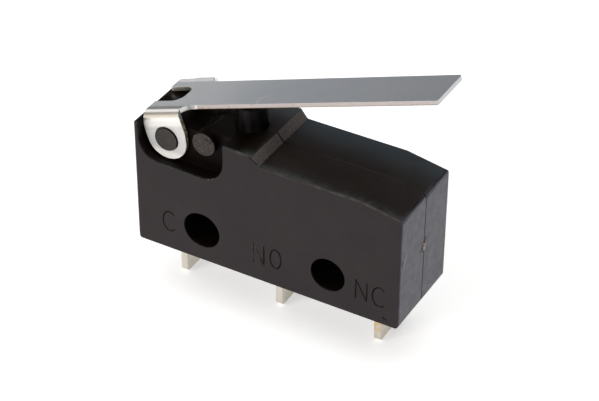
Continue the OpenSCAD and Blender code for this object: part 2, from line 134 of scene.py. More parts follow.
# ---------------------------------------------------------------- node helpers
class Tree:
    """A node tree under construction."""

    def __init__(self, tree):
        self.nt = tree
        self.nt.nodes.clear()

    def node(self, kind):
        return self.nt.nodes.new("ShaderNode" + kind)

    def link(self, a, b):
        self.nt.links.new(a, b)

    def put(self, socket, value):
        """Feeds an input with a number, a colour or another node's output."""
        if hasattr(value, "is_output"):
            self.link(value, socket)
        else:
            socket.default_value = value

    def split(self, v):
        n = self.node("SeparateXYZ")
        self.link(v, n.inputs[0])
        return n.outputs

    def math(self, op, a, b=None, clamp=False):
        n = self.node("Math")
        n.operation = op
        n.use_clamp = clamp
        for i, v in enumerate((a, b)):
            if v is not None:
                self.put(n.inputs[i], v)
        return n.outputs[0]

    def times(self, first, *others):
        for o in others:
            first = self.math("MULTIPLY", first, o)
        return first

    def most(self, first, *others):
        for o in others:
            first = self.math("MAXIMUM", first, o)
        return first

    def without(self, mask):
        """1 where the mask is 0, and 0 where it is 1."""
        return self.math("SUBTRACT", 1.0, mask, clamp=True)

    def size(self, v):
        return self.math("ABSOLUTE", v)

    def ramp(self, v, lo, hi, to_lo=0.0, to_hi=1.0):
        """v from lo..hi to to_lo..to_hi, smooth and clamped."""
        n = self.node("MapRange")
        n.interpolation_type = "SMOOTHSTEP"
        n.clamp = True
        for i, x in enumerate((v, lo, hi, to_lo, to_hi)):
            self.put(n.inputs[i], x)
        return n.outputs[0]

    def mix(self, fac, a, b):
        n = self.node("Mix")
        n.data_type = "RGBA"
        self.put(n.inputs["Factor"], fac)
        self.put(n.inputs["A"], a)
        self.put(n.inputs["B"], b)
        return n.outputs["Result"]


class Mat(Tree):
    """A material painted layer by layer. Masks run from 0 to 1, over the object's own coordinates."""

    def __init__(self, name):
        self.mat = bpy.data.materials.new(name)
        self.mat.use_nodes = True
        super().__init__(self.mat.node_tree)
        self.bsdf = self.node("BsdfPrincipled")
        self.link(self.bsdf.outputs[0], self.node("OutputMaterial").inputs["Surface"])
        coord = self.node("TexCoord")
        self.pos = coord.outputs["Object"]
        self.x, self.y, self.z = self.split(self.pos)
        self.normal = coord.outputs["Normal"]
        self.nx, self.ny, self.nz = self.split(self.normal)
        self.colour = None

    def set(self, **inputs):
        """Feeds inputs of the shader, named with _ for a space."""
        for name, value in inputs.items():
            self.put(self.bsdf.inputs[name.replace("_", " ")], value)

    def place(self, v, lo, hi, to_lo=0.0, to_hi=1.0):
        """The same for a coordinate, with lo and hi in millimetres."""
        return self.ramp(v, lo * MM, hi * MM, to_lo, to_hi)

    def noise(self, scale, detail=3.0, rough=0.5, stretch=(1, 1, 1), shift=(0, 0, 0), turn=(0, 0, 0)):
        """Noise over the object's own coordinates; scale in cycles per millimetre."""
        m = self.node("Mapping")
        m.vector_type = "TEXTURE"
        m.inputs["Scale"].default_value = [MM / (scale * k) for k in stretch]
        m.inputs["Location"].default_value = mm(*shift)
        m.inputs["Rotation"].default_value = turn
        self.link(self.pos, m.inputs["Vector"])
        n = self.node("TexNoise")
        n.inputs["Scale"].default_value = 1
        n.inputs["Detail"].default_value = detail
        n.inputs["Roughness"].default_value = rough
        self.link(m.outputs[0], n.inputs["Vector"])
        return n.outputs["Fac"]

    def tones(self, v, lo, hi, pair):
        """From the first colour of the pair to the second one as v goes from lo to hi."""
        return self.mix(self.ramp(v, lo, hi), *pair)

    def paint(self, mask, colour, share=1.0):
        """Covers what was painted before with this share of a colour where the mask is 1."""
        self.colour = self.mix(mask if share == 1.0 else self.times(mask, share), self.colour, colour)

    def vector(self, op, a, b=None, scale=None):
        n = self.node("VectorMath")
        n.operation = op
        self.put(n.inputs[0], a)
        if b is not None:
            self.put(n.inputs[1], b)
        if scale is not None:
            self.put(n.inputs["Scale"], scale)
        return n.outputs["Value" if op in ("DOT_PRODUCT", "LENGTH") else 0]

    def blend(self, fac, a, b):
        """Between the vectors a and b."""
        n = self.node("Mix")
        n.data_type = "VECTOR"
        for name, value in (("Factor", fac), ("A", a), ("B", b)):
            self.put([i for i in n.inputs if i.name == name and i.enabled][0], value)
        return [o for o in n.outputs if o.enabled][0]

    def to_world(self, way):
        """A direction in the object's own axes, turned to the world's."""
        n = self.node("VectorTransform")
        n.vector_type = "NORMAL"
        n.convert_from, n.convert_to = "OBJECT", "WORLD"
        self.link(way, n.inputs[0])
        return n.outputs[0]

    def blob(self, centre, radii, core=0.6):
        """A soft ellipsoid round a point; core is the share of the radius that is full."""
        off = self.vector("SUBTRACT", self.pos, tuple(mm(*centre)))
        off = self.vector("MULTIPLY", off, tuple(1 / (r * MM) for r in radii))
        return self.ramp(self.vector("LENGTH", off), core, 1.0, 1.0, 0.0)

    def stroke(self, a, b, width):
        """A soft line from a to b, full over the middle 0.4 of its width."""
        a, b = mm(*a), mm(*b)
        along = b - a
        off = self.vector("SUBTRACT", self.pos, tuple(a))
        t = self.vector("DOT_PRODUCT", off, tuple(along / along.length_squared))
        t = self.math("MINIMUM", self.math("MAXIMUM", t, 0.0), 1.0)
        foot = self.vector("SCALE", tuple(along), scale=t)
        gap = self.vector("LENGTH", self.vector("SUBTRACT", off, foot))
        return self.place(gap, width * 0.2, width * 0.5, 1.0, 0.0)

    def trail(self, points, width):
        """Strokes through a row of points."""
        return self.most(*[self.stroke(a, b, width) for a, b in zip(points, points[1:])])

    def bump(self, height, strength, distance, base=None):
        n = self.node("Bump")
        n.inputs["Strength"].default_value = strength
        n.inputs["Distance"].default_value = distance * MM
        self.link(height, n.inputs["Height"])
        if base is not None:
            self.link(base, n.inputs["Normal"])
        return n.outputs[0]

    def bevel(self, radius):
        """Normals rounded over the edges by a radius."""
        n = self.node("Bevel")
        n.samples = 6
        n.inputs["Radius"].default_value = radius * MM
        return n.outputs[0]


# ---------------------------------------------------------------- the moulded body
# colours, each pair from dark to pale
FACE_TONES = rgb(0.0065, 0.0032, 0.0042), rgb(0.0100, 0.0062, 0.0070)
# the right end face: mottled, and painted paler and bluer than the other faces as painted light
END_PAINTED_LIGHT_TONES = rgb(0.036, 0.037, 0.055), rgb(0.078, 0.080, 0.108)
TOP_TONES = rgb(0.0065, 0.0040, 0.0028), rgb(0.0105, 0.0070, 0.0050)
# painted sheen on the top: blue-grey at the rear, paler along the front rim
REAR_PAINTED_SHEEN_TONES = rgb(0.028, 0.039, 0.048), rgb(0.050, 0.060, 0.070)
TOP_RIM_PAINTED_SHEEN = rgb(0.030, 0.035, 0.034)
# the step's slanted face is painted pale as painted light
STEP_PAINTED_LIGHT_TONES = rgb(0.085, 0.075, 0.070), rgb(0.145, 0.132, 0.124)
SPARE_PIN_TONES = rgb(0.028, 0.023, 0.020), rgb(0.050, 0.043, 0.038)
PIN_TONES = rgb(0.032, 0.029, 0.025), rgb(0.052, 0.047, 0.042)
WORN = rgb(0.012, 0.008, 0.006)
RUBBED = rgb(0.075, 0.080, 0.066)
DUST = rgb(0.42, 0.40, 0.36)
SCRATCH = rgb(0.23, 0.23, 0.24)
BURN = rgb(0.006, 0.005, 0.005)
SMUDGE = rgb(0.016, 0.016, 0.02)
# painted shade inside the recess and the mounting holes
HOLLOW_PAINTED_SHADE = rgb(0.0035, 0.0022, 0.0015)
CHIP = rgb(0.46, 0.34, 0.26)
SEAM_TONES = rgb(0.006, 0.004, 0.0035), rgb(0.0145, 0.012, 0.011)
# a painted shadow line at the step
STEP_PAINTED_SHADOW = rgb(0.002, 0.0015, 0.0015)
GROOVE_TONES = rgb(0.0015, 0.001, 0.001), rgb(0.045, 0.022, 0.010)
# what the faces and the right end mirror: tint and level
FACE_MIRROR, END_MIRROR = rgb(1.0, 0.90, 0.91), rgb(0.95, 0.95, 1.0)
FACE_SHINE, END_SHINE = 0.48, 0.78
DULL_LOSS = 0.4
BODY_IOR = 1.41

# the painted sheen on the rear of the high top comes in between these two x
SHEEN_X0, SHEEN_X1 = -8.4, -7.2
# the front rim of the top, from the recess to the right end
RIM_LINE = [(-7.7, FRONT, TOP), (STEP_X0, FRONT, TOP), (STEP_X1, FRONT, LOW_TOP), (FALL_X, FRONT, LOW_TOP),
            (RIGHT, FRONT, END_TOP)]
RIM_WIDTH = 0.42
# marks on the right end face: the scratch's y and z, and each spot's y, z and half its width and height
END_SCRATCH = [(-2.43, 3.06), (-2.63, 2.78), (-2.80, 2.50)]
BURNS = (0.05, 2.70, 0.32, 0.24), (-0.26, 2.12, 0.40, 0.3)
END_NICK = (-3.00, 2.82, 0.16, 0.34)
END_SMUDGE = (-1.0, 3.1, 1.5, 1.4)
# a chip at the recess's lower rim, and a painted shadow line along the front edge of the step's slanted face
RIM_CHIP = [(-8.90, FRONT, 4.42), (-8.61, FRONT, 4.55), (-8.39, FRONT, 4.80)]
STEP_SHADOW_LINE = [(STEP_X0 - 0.10, FRONT, TOP - 0.10), (STEP_X1 - 0.12, FRONT, LOW_TOP + 0.02)]
# masks a little larger than the two mounting holes: x and half the length and height; THROUGH reaches far
# past both faces
HOLES = (0, 1.42, 1.42), (SLOT_X, 1.6, 1.5)
THROUGH = 60
# the recess is painted dark as painted shade from this height up, and in front of this y
RECESS_FOOT = 1.5
RECESS_REAR = 1.0
# the strip of the front face that bears the letters and the nick
MARKED_FOOT, MARKED_HEAD = -2.1, 0.65


class Housing(Mat):
    """Dark moulded plastic with the wear of a used part, and painted light and shade on some faces."""

    def __init__(self):
        super().__init__("moulded_plastic")
        self.cloud = self.noise(0.45, 3, 0.55)
        self.mottle = self.noise(1.6, 4, 0.6, shift=(3, 1, 2))
        self.fine = self.noise(14, 4, 0.6)
        self.grit = self.noise(9, 2, 0.7, shift=(5, 2, 8))
        # masks of the right end face and of the front ends of the hinge pins
        self.at_end = self.times(self.ramp(self.nx, 0.45, 0.75), self.place(self.x, RIGHT - 0.6, RIGHT - 0.5))
        self.pin_ends = [self.pin_end(SPARE_PIN), self.pin_end(PIN)]
        # what has lost its gloss, added to by the layers below
        self.dull = 0.0
        self.paint_faces()
        self.paint_top()
        self.paint_step_light()
        self.paint_pins()
        self.paint_rim()
        self.paint_end_marks()
        self.paint_hollow_shade()
        self.paint_seam()
        self.paint_grooves()
        self.shade()

    def pin_end(self, pin):
        """The front end of a hinge pin."""
        disc = self.blob((pin.x, PIN_FACE, pin.z), (PIN_R * 1.02, 0.2, PIN_R * 1.02), 0.95)
        return self.times(disc, self.ramp(self.ny, -0.4, -0.7))

    def end_spot(self, y, z, half_width, half_height):
        """A soft spot on the right end face."""
        return self.blob((RIGHT, y, z), (0.3, half_width, half_height))

    def paint_faces(self):
        """Warm grey faces, and a mottled end face painted paler and bluer as painted light."""
        self.colour = self.tones(self.cloud, 0.35, 0.7, FACE_TONES)
        self.paint(self.at_end, self.tones(self.mottle, 0.3, 0.7, END_PAINTED_LIGHT_TONES))

    def paint_top(self):
        """The top is dark, with a painted blue-grey sheen towards the rear, stronger on its high part, and a
        paler painted sheen along its front rim.
        """
        top = self.tones(self.cloud, 0.3, 0.7, TOP_TONES)
        rear = self.times(self.place(self.y, 0.0, BACK), self.ramp(self.cloud, 0.2, 0.6, 0.6, 1.0),
                          self.place(self.x, SHEEN_X0, SHEEN_X1))
        top = self.mix(rear, top, self.mix(self.place(self.z, LOW_TOP + 0.2, TOP - 0.1), *REAR_PAINTED_SHEEN_TONES))
        rim = self.times(self.place(self.y, FRONT + 0.8, FRONT + 0.1), self.ramp(self.mottle, 0.35, 0.55))
        top = self.mix(rim, top, TOP_RIM_PAINTED_SHEEN)
        self.paint(self.ramp(self.nz, 0.86, 0.96), top)

    def paint_step_light(self):
        """The step's slanted face came rough out of the mould; its pale colour is painted light."""
        self.slant = self.times(self.place(self.x, STEP_X0, STEP_X0 + 0.1),
                                self.place(self.x, STEP_X1, STEP_X1 - 0.1), self.ramp(self.nx, 0.4, 0.6))
        self.paint(self.slant, self.tones(self.grit, 0.4, 0.65, STEP_PAINTED_LIGHT_TONES))

    def paint_pins(self):
        """The ends of the hinge pins are rough too, and the spare one is worn and speckled."""
        spare, pin = self.pin_ends
        self.paint(spare, self.tones(self.grit, 0.35, 0.65, SPARE_PIN_TONES))
        worn = self.blob((SPARE_PIN.x + 0.45, -2.6, SPARE_PIN.z + 0.5), (0.45, 0.3, 0.32))
        self.paint(self.times(worn, spare, self.ramp(self.mottle, 0.35, 0.5)), WORN)
        self.paint(pin, self.tones(self.grit, 0.35, 0.65, PIN_TONES))
        rim = self.without(self.blob((SPARE_PIN.x, PIN_FACE, SPARE_PIN.z), (PIN_R, 0.4, PIN_R), 0.8))
        upper_rim = self.times(rim, self.place(self.z, SPARE_PIN.z, SPARE_PIN.z + 0.4))
        grains = self.ramp(self.noise(7, 1, 0.3, shift=(1, 9, 4)), 0.64, 0.69)
        self.specks = self.times(spare, grains, self.most(upper_rim, 0.22))

    def paint_rim(self):
        """Rubbed spots and pale dust along the front rim of the top."""
        rim_line = self.trail(RIM_LINE, RIM_WIDTH)
        rubbing = self.ramp(self.noise(1.5, 4, 0.7, shift=(7, 3, 1)), 0.40, 0.66, 0.15, 1.0)
        self.paint(self.times(rim_line, rubbing), RUBBED, 0.5)
        dust = self.times(rim_line, self.ramp(self.noise(5, 2, 0.6, shift=(2, 6, 3)), 0.71, 0.77))
        self.paint(self.most(self.specks, self.times(dust, 0.8)), DUST, 0.8)

    def paint_end_marks(self):
        """A scratch with a dark nick beside it, burnt spots at the flash, and a smudge."""
        scratch = self.trail([(RIGHT, y, z) for y, z in END_SCRATCH], 0.20)
        self.paint(self.times(scratch, self.ramp(self.grit, 0.30, 0.5)), SCRATCH, 0.9)
        nick = self.times(self.end_spot(*END_NICK), self.ramp(self.mottle, 0.3, 0.6, 0.4, 1.0))
        burn = self.most(*[self.end_spot(*spot) for spot in BURNS], nick)
        self.paint(burn, BURN, 0.9)
        self.paint(self.times(self.end_spot(*END_SMUDGE), self.ramp(self.mottle, 0.55, 0.75)), SMUDGE, 0.4)
        self.dull = self.most(self.dull, burn)

    def paint_hollow_shade(self):
        """The recess and the mounting holes are painted dark inside as painted shade, and dull; the recess's
        rim has a pale chip.
        """
        recess = self.times(self.place(self.y, FRONT + 0.04, FRONT + 0.18),
                            self.place(self.y, RECESS_REAR, RECESS_REAR - 0.7),
                            self.place(self.x, LEFT + 0.1, LEFT + 0.25),
                            self.place(self.x, STEP_X0 - 0.2, STEP_X0 - 1.2),
                            self.place(self.z, RECESS_FOOT, RECESS_FOOT + 1),
                            self.without(self.most(*self.pin_ends)))
        holes = self.most(*[self.blob((x, 0, 0), (half_length, THROUGH, half_height), 0.97)
                            for x, half_length, half_height in HOLES])
        holes = self.times(holes, self.place(self.y, FRONT + 0.03, FRONT + 0.2),
                           self.place(self.y, BACK - 0.03, BACK - 0.2))
        shaded_hollow = self.most(recess, holes)
        self.paint(shaded_hollow, HOLLOW_PAINTED_SHADE, 0.9)
        self.dull = self.most(self.dull, shaded_hollow)
        chip = self.trail(RIM_CHIP, 0.26)
        self.paint(self.times(chip, self.ramp(self.noise(6, 2, 0.6, shift=(8, 1, 5)), 0.42, 0.56)), CHIP)

    def paint_seam(self):
        """The parting line is filled with dirt, and hardly shows on the tops; a painted shadow line runs at
        the step.
        """
        seam = self.place(self.size(self.y), 0.07, 0.04)
        long_top = self.times(self.place(self.x, STEP_X1, STEP_X1 + 0.3),
                              self.place(self.x, RIGHT - 0.1, RIGHT - 0.3), self.place(self.z, 5.5, 5.9))
        tops = self.most(long_top, self.place(self.z, TOP - 0.08, TOP - 0.03))
        self.paint(self.times(seam, self.ramp(self.mottle, 0.3, 0.6, 0.6, 0.95)), self.mix(tops, *SEAM_TONES))
        step_shadow = self.trail(STEP_SHADOW_LINE, 0.13)
        self.paint(step_shadow, STEP_PAINTED_SHADOW)
        self.dull = self.most(self.dull, step_shadow, self.times(seam, self.without(self.times(tops, 0.65))))

    def paint_grooves(self):
        """The engraved grooves are painted dark inside, flecked with brown, and less glossy."""
        lettered = self.times(self.place(self.z, MARKED_HEAD + 0.1, MARKED_HEAD),
                              self.place(self.z, MARKED_FOOT - 0.1, MARKED_FOOT),
                              self.place(self.x, RIGHT - 0.4, RIGHT - 0.5))
        groove = self.times(lettered, self.place(self.y, FRONT + 0.004, FRONT + 0.02),
                            self.place(self.y, FRONT + 0.2, FRONT + 0.1))
        self.paint(groove, self.tones(self.grit, 0.5, 0.68, GROOVE_TONES), 0.65)
        self.dull = self.most(self.dull, self.times(groove, 0.7))

    def shade(self):
        """Gloss and fine relief. The end face is glossier than the others."""
        rough = self.ramp(self.noise(2.2, 4, 0.6, shift=(3, 1, 2)), 0.3, 0.7, 0.33, 0.43)
        coarse = self.most(self.slant, *self.pin_ends)
        shine = self.ramp(self.at_end, 0.0, 1.0, FACE_SHINE, END_SHINE)
        shine = self.math("SUBTRACT", shine, self.times(self.dull, DULL_LOSS), clamp=True)
        relief = self.bump(self.fine, 0.10, 0.02, self.bevel(0.04))
        self.set(Base_Color=self.colour, IOR=BODY_IOR)
        self.set(Roughness=self.math("ADD", rough, self.times(coarse, 0.3)))
        self.set(Specular_Tint=self.mix(self.at_end, FACE_MIRROR, END_MIRROR), Specular_IOR_Level=shine)
        self.set(Normal=self.bump(self.mottle, 0.06, 0.12, relief))


# ---------------------------------------------------------------- the lever
BLADE_TONES = rgb(0.74, 0.76, 0.78), rgb(0.82, 0.83, 0.83)
# painted light at the blade's hinge end, and painted shade towards its free end
HINGE_END_PAINTED_LIGHT = rgb(0.97, 0.97, 0.96)
FREE_END_PAINTED_SHADE = rgb(0.60, 0.61, 0.63)
EAR_TONES = rgb(0.66, 0.65, 0.65), rgb(0.74, 0.73, 0.725)
# painted light on the ears' foot and head, and a painted tan reflection on the fold
EAR_FOOT_PAINTED_LIGHT = rgb(0.99, 0.98, 0.93)
EAR_HEAD_PAINTED_LIGHT = rgb(0.93, 0.92, 0.89)
FOLD_PAINTED_REFLECTION = rgb(0.46, 0.40, 0.30)
BLADE_CUT = rgb(0.56, 0.51, 0.495)
BURR = rgb(0.26, 0.15, 0.06)
EAR_CUT_TONES = rgb(0.16, 0.10, 0.05), rgb(0.62, 0.50, 0.32)
INNER_CUT = rgb(0.72, 0.68, 0.52)
CUT_SPOTS = rgb(0.45, 0.28, 0.16)
HAIR = rgb(1.0, 0.98, 0.94)

# square to the blade at rest, and the x where the ears end
LEVER_UP = Vector((-math.sin(LEVER_TILT), 0, math.cos(LEVER_TILT)))
EARS_END = PIN.x + 2.0
# a fine hair scratch on the blade, as x and y
HAIR_SCRATCH = [(-6.22, -1.5), (-6.32, -1.06), (-6.29, -0.77), (-5.99, -0.65), (-5.84, -0.37)]


def on_blade(x, y):
    """The point of the blade's upper face over x, y, with the lever at rest."""
    return x, y, PIN.z + BLADE_HEIGHT / math.cos(LEVER_TILT) + (x - PIN.x) * math.tan(LEVER_TILT)


class Lever(Mat):
    """Satin stainless sheet with bright folds, and cream and brown cut edges."""

    def __init__(self):
        super().__init__("lever_steel")
        self.lines = self.noise(5, 2, 0.5, stretch=(0.02, 1, 1), turn=(0, -LEVER_TILT, 0))
        self.measure()
        self.paint_blade()
        self.paint_ears()
        self.paint_cuts()
        self.paint_hair()
        self.shade()

    def measure(self):
        """Masks for the parts of the bent sheet."""
        # metres below the blade's upper face, and metres in from the ears' outer faces
        self.below = self.math("SUBTRACT", (BLADE_HEIGHT + PIN.dot(LEVER_UP)) * MM,
                               self.vector("DOT_PRODUCT", self.pos, tuple(LEVER_UP)))
        inward = self.math("SUBTRACT", EAR_FACE * MM, self.size(self.y))
        # 1 on the flat blade, 0 on the flat ear, through one half in the middle of the fold
        slope = self.math("SUBTRACT", inward, self.below)
        self.flatness = self.math("ADD", self.times(slope, 0.5 / (FOLD_R * MM)), 0.5, clamp=True)
        self.near_ears = self.place(self.x, EARS_END, EARS_END - 0.5)
        # the outer side of the folded sheet round the ears
        outward = self.times(self.ny, self.math("SIGN", self.y))
        upward = self.vector("DOT_PRODUCT", self.normal, tuple(LEVER_UP))
        self.outer = self.times(self.most(self.ramp(outward, 0.1, 0.3), self.ramp(upward, 0.85, 0.95)),
                                self.near_ears)
        side = self.ramp(self.size(self.ny), 0.85, 0.97)
        self.blade_side = self.times(side, self.place(self.x, EARS_END - 0.4, EARS_END))
        self.ear = self.times(side, self.place(self.x, EARS_END, EARS_END - 0.4))
        # the ear's foot, painted pale as painted light
        self.ear_foot_light = self.place(self.z, PIN.z - 0.75, PIN.z - 1.2)
        self.flat_ear = self.times(self.ear, self.ramp(self.flatness, 0.25, 0.05))

    def paint_blade(self):
        """Clouded grey, with painted light pale at the hinge and painted shade darker towards the free end.
        """
        self.colour = self.tones(self.noise(0.22, 3, 0.5), 0.3, 0.75, BLADE_TONES)
        self.paint(self.place(self.x, -6, -11), HINGE_END_PAINTED_LIGHT)
        self.paint(self.place(self.x, -9, 7), FREE_END_PAINTED_SHADE, 0.5)

    def paint_ears(self):
        """The ears are painted pale at their head and foot as painted light, and the fold above them has a
        painted tan reflection band.
        """
        ear = self.tones(self.noise(0.8, 3, 0.5), 0.3, 0.7, EAR_TONES)
        ear = self.mix(self.ear_foot_light, ear, EAR_FOOT_PAINTED_LIGHT)
        ear = self.mix(self.place(self.below, 1.25, 0.95), ear, EAR_HEAD_PAINTED_LIGHT)
        self.paint(self.ear, ear)
        reflection_band = self.times(self.ramp(self.flatness, 0.62, 0.5), self.ramp(self.flatness, 0.16, 0.3),
                          self.outer)
        self.paint(reflection_band, FOLD_PAINTED_REFLECTION, 0.55)

    def paint_cuts(self):
        """The cut edges: a brown burr and spots on the blade, drawn lines on the ear, cream in the notch."""
        self.paint(self.blade_side, BLADE_CUT)
        self.paint(self.times(self.blade_side, self.place(self.below, 0.23, 0.28)), BURR, 0.7)
        self.ear_cut = self.times(self.ramp(self.size(self.ny), 0.4, 0.2), self.place(self.below, 0.5, 0.8),
                                  self.near_ears)
        self.paint(self.ear_cut, self.tones(self.lines, 0.45, 0.55, EAR_CUT_TONES), 0.9)
        inner_cut = self.times(self.ramp(self.ny, -0.6, -0.9), self.place(self.y, 0.6, 0.8),
                               self.place(self.x, EARS_END - 0.8, EARS_END - 1.1))
        self.paint(inner_cut, INNER_CUT, 0.7)
        spots = self.times(self.blade_side, self.ramp(self.noise(3, 2, 0.6, shift=(4, 4, 1)), 0.60, 0.66),
                           self.place(self.x, 0, -9, 0.3, 1.0))
        self.paint(spots, CUT_SPOTS, 0.8)

    def paint_hair(self):
        self.hair = self.trail([on_blade(*at) for at in HAIR_SCRATCH], 0.05)
        self.paint(self.hair, HAIR, 0.9)

    def shade(self):
        """Satin metal, duller on the ears and cuts, with normals that turn over the fold's whole width."""
        dull = self.most(self.times(self.ear, self.ear_foot_light, 0.35), self.times(self.ear_cut, 0.7),
                         self.times(self.hair, 0.9))
        metal = self.math("SUBTRACT", self.ramp(self.flat_ear, 0.0, 1.0, 1.0, 0.35), dull, clamp=True)
        matt = self.most(self.hair, self.blade_side, self.flat_ear)
        rough = self.math("ADD", self.ramp(self.lines, 0.3, 0.7, 0.29, 0.32), self.times(matt, 0.2))
        self.set(Base_Color=self.colour, Metallic=metal, Roughness=rough)
        to_ear, to_blade = (self.math("SINE", self.times(turn, math.pi / 2))
                            for turn in (self.without(self.flatness), self.flatness))
        across = self.vector("SCALE", (0, 1, 0), scale=self.times(self.math("SIGN", self.y), to_ear))
        upright = self.vector("SCALE", tuple(LEVER_UP), scale=to_blade)
        folded = self.to_world(self.vector("ADD", across, upright))
        self.set(Normal=self.blend(self.outer, self.bevel(0.05), folded))


# ---------------------------------------------------------------- plunger, terminals and inner metal
PLUNGER_TONES = rgb(0.004, 0.003, 0.0032), rgb(0.012, 0.010, 0.011)
PLUNGER_IOR = 1.38
FLASH_TONES = rgb(0.26, 0.19, 0.14), rgb(0.72, 0.60, 0.50)
FLASH_IOR = 1.45
BARE_METAL = rgb(0.78, 0.55, 0.20)
# the last leg lies right of this x, and its plating is worn between these heights
LAST_LEG = 1.0
WORN_FOOT, WORN_HEAD = -5.25, -4.5


def plunger_material():
    """Smooth dark plastic, streaked along its height, with its gloss faded out near the body as painted shade
    at its foot.
    """
    m = Mat("plunger_plastic")
    cloud = m.noise(1.2, 3, 0.55)
    streaks = m.noise(3, 3, 0.6, stretch=(1, 1, 0.08))
    m.set(Base_Color=m.tones(streaks, 0.4, 0.65, PLUNGER_TONES), IOR=PLUNGER_IOR)
    m.set(Specular_IOR_Level=m.place(m.z, TOP + 0.3, TOP + 1.3, 0.0, 0.16))
    m.set(Roughness=m.ramp(cloud, 0.3, 0.7, 0.3, 0.42), Normal=m.bump(cloud, 0.05, 0.02, m.bevel(0.05)))
    return m.mat


def sheet_metal(name, tones, rough):
    """Plated strip: clouded colour, with light drawing lines along its length."""
    m = Mat(name)
    lines = m.noise(4, 2, 0.5, stretch=(1, 1, 0.06))
    m.colour = m.tones(m.noise(0.6, 3, 0.55), 0.35, 0.65, tones)
    # the plating is worn to the yellow metal on the last leg
    last_leg = m.times(m.place(m.x, LAST_LEG, LAST_LEG + 0.2), m.place(m.y, -0.2, -0.6))
    bare = m.times(last_leg, m.place(m.z, WORN_FOOT - 0.5, WORN_FOOT),
                   m.place(m.z, WORN_HEAD + 0.5, WORN_HEAD), m.ramp(m.noise(1.6, 3, 0.6), 0.40, 0.60))
    m.paint(bare, BARE_METAL, 0.7)
    m.set(Base_Color=m.colour, Metallic=1.0)
    m.set(Roughness=m.ramp(lines, 0.3, 0.7, rough - 0.03, rough + 0.05), Normal=m.bevel(0.05))
    return m.mat


def flash_material():
    """Pale brown crumbs of resin."""
    m = Mat("moulding_flash")
    spots = m.noise(9, 3, 0.6)
    m.set(Base_Color=m.tones(spots, 0.4, 0.6, FLASH_TONES), IOR=FLASH_IOR)
    m.set(Roughness=m.ramp(spots, 0.3, 0.7, 0.45, 0.6), Normal=m.bump(spots, 0.4, 0.02))
    return m.mat


housing_mat = Housing().mat
flash_mat = flash_material()
# each material with the CAD nodes that it finishes
FINISHES = (
    (housing_mat, ("housing_base", "housing_cover")),
    (Lever().mat, ("hinge_lever",)),
    (plunger_material(), ("plunger",)),
    (sheet_metal("terminal_plating", (rgb(0.78, 0.74, 0.62), rgb(0.90, 0.85, 0.76)), 0.36),
     ("terminal_common", "terminal_no", "terminal_nc")),
    (sheet_metal("contact_silver", (rgb(0.78, 0.77, 0.74), rgb(0.87, 0.86, 0.82)), 0.3),
     ("contact_no", "contact_nc", "contact_moving")),
    (sheet_metal("bronze_sheet", (rgb(0.64, 0.44, 0.24), rgb(0.76, 0.54, 0.30)), 0.3), ("contact_blade",)),
    (sheet_metal("spring_steel", (rgb(0.5, 0.5, 0.52), rgb(0.62, 0.62, 0.64)), 0.3),
     ("inner_lever", "tension_spring")),
)
for material, names in FINISHES:
    for name in names:
        for slot in nodes[name].material_slots:
            slot.material = material

# ---------------------------------------------------------------- engraved terminal letters
GROOVE_WIDTH = 0.12
GROOVE_DEPTH = 0.07
# how far the cutting tools stand out of the front face
GROOVE_OUT = 0.04
# the letters' boxes on the front face: left, right, foot and head
LETTERS_N = (-5.55, -4.75, -1.08, 0.46), (2.05, 2.85, -1.04, 0.47)
LETTERS_C = (-12.52, -11.50, -0.96, 0.60), (3.25, 4.28, -1.08, 0.43)
LETTER_O = (-4.27, -3.47, -0.98, 0.52)
# half the opening of a C, in degrees
C_OPENING = 48
# a nick in the face below the last letter
NICK = [(4.02, -1.86), (4.3, -1.98)]
# a copy's faces are shaded flat where those that look one way have at least this area together, in mm2
LEAST_FLAT = 1.3
CREASE = math.radians(20)


def arc_points(box, start, end, steps):
    """Points round the ellipse in a box, angles in degrees from +X towards +Z."""
    x0, x1, z0, z1 = box
    cx, cz, rx, rz = (x0 + x1) / 2, (z0 + z1) / 2, (x1 - x0) / 2, (z1 - z0) / 2
    turns = [math.radians(start + (end - start) * i / steps) for i in range(steps + 1)]
    return [(cx + rx * math.cos(t), cz + rz * math.sin(t)) for t in turns]


def add_groove(bm, line, closed=False):
    """A V-shaped solid along a line on the front face, standing out of it at its open side."""
    half = GROOVE_WIDTH / 2
    wide = half * (1 + GROOVE_OUT / GROOVE_DEPTH)
    points = [Vector(p) for p in (line[:-1] if closed else line)]
    last = len(points) - 1
    rings = []
    for i, p in enumerate(points):
        before = points[i - 1] if closed or i > 0 else p
        after = points[(i + 1) % (last + 1)] if closed or i < last else p
        along = (after - before).normalized()
        side = Vector((-along.y, along.x)) * wide
        # the open sides of a line's two ends reach half a width past it
        past = 0 if closed or 0 < i < last else half if i else -half
        rims = (p + along * past + side, p + along * past - side)
        rings.append([bm.verts.new(mm(rim.x, FRONT - GROOVE_OUT, rim.y)) for rim in rims]
                     + [bm.verts.new(mm(p.x, FRONT + GROOVE_DEPTH, p.y))])
    pairs = list(zip(rings, rings[1:])) + ([(rings[-1], rings[0])] if closed else [])
    for r, s in pairs:
        for k in range(3):
            bm.faces.new((r[k], r[(k + 1) % 3], s[(k + 1) % 3], s[k]))
    if not closed:
        bm.faces.new(rings[0])
        bm.faces.new(reversed(rings[-1]))


def groove_tool(name, lines, rings=()):
    """The solid that cuts grooves along open lines and closed rings."""
    bm = bmesh.new()
    for line in lines:
        add_groove(bm, line)
    for ring in rings:
        add_groove(bm, ring, closed=True)
    bmesh.ops.recalc_face_normals(bm, faces=bm.faces)
    return add_object(name, mesh_of(name, bm))


